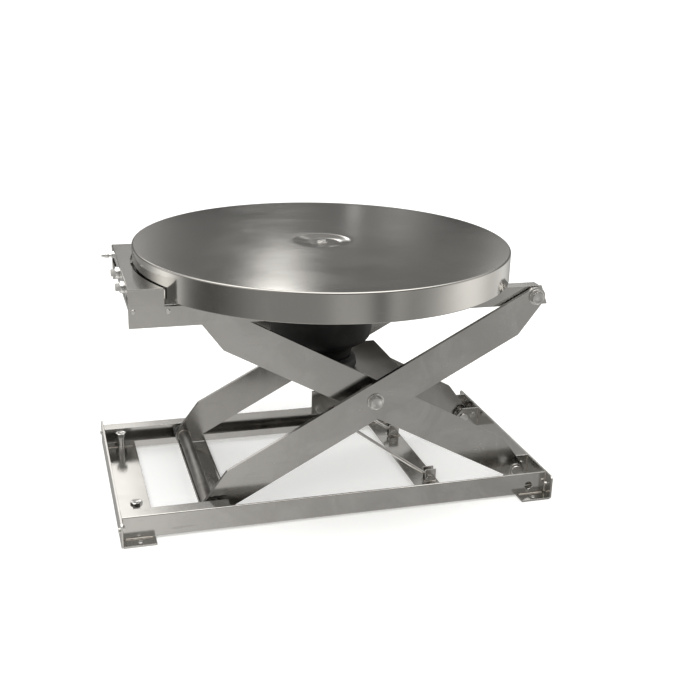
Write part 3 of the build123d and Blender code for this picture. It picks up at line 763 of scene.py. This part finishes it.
tableSteel = rolledSteel("tableSteel", {
    **sheetValues, "stretch": (4.0, 420.0, 4.0), "smudgeScale": 3.0, "swellScale": 2.2,
    "dark": (0.43, 0.42, 0.40), "light": (0.49, 0.48, 0.455),
    "rough": 0.125, "roughSmudge": 0.04, "roughGrain": 0.04, "swell": 0.0004, "grainDepth": 0.0000015,
})
brightSteel = rolledSteel("brightSteel", {
    **sheetValues, "stretch": (60.0, 900.0, 60.0), "smudgeScale": 40.0, "swellScale": 30.0,
    "dark": (0.62, 0.61, 0.59), "light": (0.80, 0.79, 0.77), "rough": 0.16, "swell": 0.0001, "grainDepth": 0.000006,
})
wheelSteel = rolledSteel("wheelSteel", {
    **sheetValues, "stretch": (80.0, 900.0, 80.0), "smudgeScale": 30.0, "swellScale": 30.0,
    "dark": (0.34, 0.34, 0.34), "light": (0.55, 0.55, 0.54), "rough": 0.30, "swell": 0.0001, "grainDepth": 0.00001,
})
weldSteel = rolledSteel("weldSteel", {
    **sheetValues, "stretch": (200.0, 200.0, 200.0), "smudgeScale": 60.0, "swellScale": 60.0,
    "dark": (0.30, 0.26, 0.22), "light": (0.62, 0.60, 0.57), "rough": 0.30, "swell": 0.0001, "grainDepth": 0.00001,
})
# The cross tube: a dull finish, and its darker colour is painted shade from under the table
tubeSteel = rolledSteel("tubeSteel", {
    **sheetValues, "stretch": (60.0, 60.0, 60.0), "smudgeScale": 16.0,
    "dark": (0.22, 0.215, 0.205), "light": (0.36, 0.35, 0.335), "rough": 0.40, "swell": 0.0001,
})
valveMetal = rolledSteel("valveMetal", {
    **sheetValues, "dark": (0.28, 0.28, 0.30), "light": (0.44, 0.44, 0.46), "rough": 0.36, "swell": 0.0001,
})


# Plated brass or steel: almost a mirror, with thin wiping marks and a few dull spots
def platedChrome(name, values):
    material, bench, shader = newFinish(name)
    shader.inputs["Metallic"].default_value = 1.0
    place = bench.node("ShaderNodeTexCoord", out=3)
    wiped = bench.noise(place, values["wipeScale"], 4.0, {"Distortion": 1.2}).step(0.35, 0.75)
    spots = bench.noise(place, values["spotScale"], 2.0).step(0.64, 0.72)
    worn = (wiped * 0.6 + spots * 0.4).clamp()
    link(bench, bench.mix(worn, values["light"], values["dark"]), shader, "Base Color")
    dull = wiped * values["wipeDull"] + spots * values["spotDull"] + values["rough"]
    link(bench, dull.clamp(), shader, "Roughness")
    return material


chrome = platedChrome("chrome", {
    "light": (0.88, 0.88, 0.87), "dark": (0.70, 0.69, 0.68), "rough": 0.18,
    "wipeScale": 90.0, "wipeDull": 0.07, "spotScale": 420.0, "spotDull": 0.12,
})


# Moulded rubber or plastic: a fine pebbled skin, with dust settled unevenly
def mouldedSkin(name, values):
    material, bench, shader = newFinish(name)
    place = bench.node("ShaderNodeTexCoord", out=3)
    pebble = bench.node("ShaderNodeTexVoronoi", {}, {"Vector": place, "Scale": values["pebble"]})
    dust = bench.noise(place, values["dustScale"], 6.0, {"Roughness": 0.65}).step(0.42, 0.74)
    link(bench, bench.mix(dust * values["dust"], values["colour"], values["dustColour"]), shader, "Base Color")
    link(bench, (dust * 0.22 + pebble * 0.06 + values["rough"]).clamp(), shader, "Roughness")
    shader.inputs["Specular IOR Level"].default_value = values["specular"]
    link(bench, bench.bumps((pebble + dust * 0.5) * values["depth"]), shader, "Normal")
    return material


bagRubber = mouldedSkin("bagRubber", {
    "colour": (0.005, 0.005, 0.005), "dustColour": (0.045, 0.042, 0.038), "dust": 0.35, "dustScale": 14.0,
    "rough": 0.50, "pebble": 900.0, "depth": 0.00008, "specular": 0.28,
})
pistonPlastic = mouldedSkin("pistonPlastic", {
    "colour": (0.020, 0.020, 0.020), "dustColour": (0.08, 0.075, 0.07), "dust": 0.4, "dustScale": 20.0,
    "rough": 0.38, "pebble": 700.0, "depth": 0.00005, "specular": 0.4,
})
buttonPlastic = mouldedSkin("buttonPlastic", {
    "colour": (0.30, 0.29, 0.275), "dustColour": (0.42, 0.41, 0.39), "dust": 0.5, "dustScale": 60.0,
    "rough": 0.26, "pebble": 1500.0, "depth": 0.00002, "specular": 0.5,
})

slotFinish = {
    "frame_steel": sheetAlongX, "table_steel": tableSteel, "bright_fasteners": brightSteel,
    "roller_steel": wheelSteel, "bearing_steel": wheelSteel, "control_chrome": chrome,
    "button_caps": buttonPlastic, "valve_body": valveMetal, "bag_rubber": bagRubber, "piston_body": pistonPlastic,
}
# Pieces whose grain or gloss differs from the rest of their slot; the far legs, cross tube, deck plate, air spring
# head and saddle plate also carry painted shade as a darker colour
finishNodes = [
    (legRising, ["outer_leg_front"]), (legRisingFar, ["outer_leg_rear"]),
    (legFalling, ["inner_leg_front"]), (legFallingFar, ["inner_leg_rear"]),
    (sheetAlongY, ["base_end_plate_left", "base_end_plate_right", "cross_plate_left", "cross_plate_centre",
                   "cross_channel", "deck_channels", "control_cover", "control_tie_bar"]),
    (tubeSteel, ["outer_cross_tube"]),
    (deckSteel, ["deck_plate", "air_spring_head", "saddle_plate"]),
]
nodeFinish = {node: finish for finish, nodes in finishNodes for node in nodes}
slotOf = {entry["node"]: entry["material_slot"] for entry in frame["record"]["subparts"]}


def dress(piece, material):
    piece.data.materials.clear()
    piece.data.materials.append(material)


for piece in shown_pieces():
    if "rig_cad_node" in piece:
        node = piece["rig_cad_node"]
        finish = nodeFinish.get(node, slotFinish[slotOf[node]])
        if piece.material_slots:
            piece.material_slots[0].material = finish
        else:
            piece.data.materials.append(finish)
    else:
        dress(piece, weldSteel if piece.name.startswith("welds_") else slotFinish[piece["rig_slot"]])
print("finishes set")


# Softened edges on the cut and folded sheet

edgeValues = {"width": 0.0007, "segments": 2, "angle": 35, "weld": 0.00002, "flat": 0.3}


def softenEdges(values, skip):
    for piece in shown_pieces():
        if "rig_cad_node" not in piece or piece["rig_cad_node"] in skip:
            continue
        join = piece.modifiers.new("join", "WELD")
        join.merge_threshold = values["weld"]
        merge = piece.modifiers.new("flats", "DECIMATE")
        merge.decimate_type = "DISSOLVE"
        merge.angle_limit = math.radians(values["flat"])
        bevel = piece.modifiers.new("edges", "BEVEL")
        bevel.width = values["width"]
        bevel.segments = values["segments"]
        bevel.limit_method = "ANGLE"
        bevel.angle_limit = math.radians(values["angle"])
        bevel.harden_normals = True


softenEdges(edgeValues, {"bearing_balls"})
print("edges softened")


# Floor

floorValues = {
    "size": 1600.0, "drop": 0.0002, "colour": (0.93, 0.93, 0.92), "cloud": 0.985,
    "rough": 0.55, "specular": 0.2, "glow": 0.3,
}


def makeFloor(values):
    half = values["size"] / 2
    mesh = bpy.data.meshes.new("floor")
    corners = np.array([(-half, -half, 0), (half, -half, 0), (half, half, 0), (-half, half, 0)])
    mesh.from_pydata((corners - (0, 0, values["drop"])).tolist(), [], [(0, 1, 2, 3)])
    floor = bpy.data.objects.new("floor", mesh)
    scene.collection.objects.link(floor)
    material, bench, shader = newFinish("floorPaint")
    place = bench.node("ShaderNodeTexCoord", out=3)
    cloud = bench.noise(place, 1.5, 3.0)
    pale = values["colour"]
    shaded = tuple(part * values["cloud"] for part in pale)
    link(bench, bench.mix(cloud, shaded, pale), shader, "Base Color")
    shader.inputs["Roughness"].default_value = values["rough"]
    shader.inputs["Specular IOR Level"].default_value = values["specular"]
    shader.inputs["Emission Color"].default_value = (*pale, 1)
    shader.inputs["Emission Strength"].default_value = values["glow"]
    floor.data.materials.append(material)
    floor.visible_glossy = False


makeFloor(floorValues)
print("floor made")
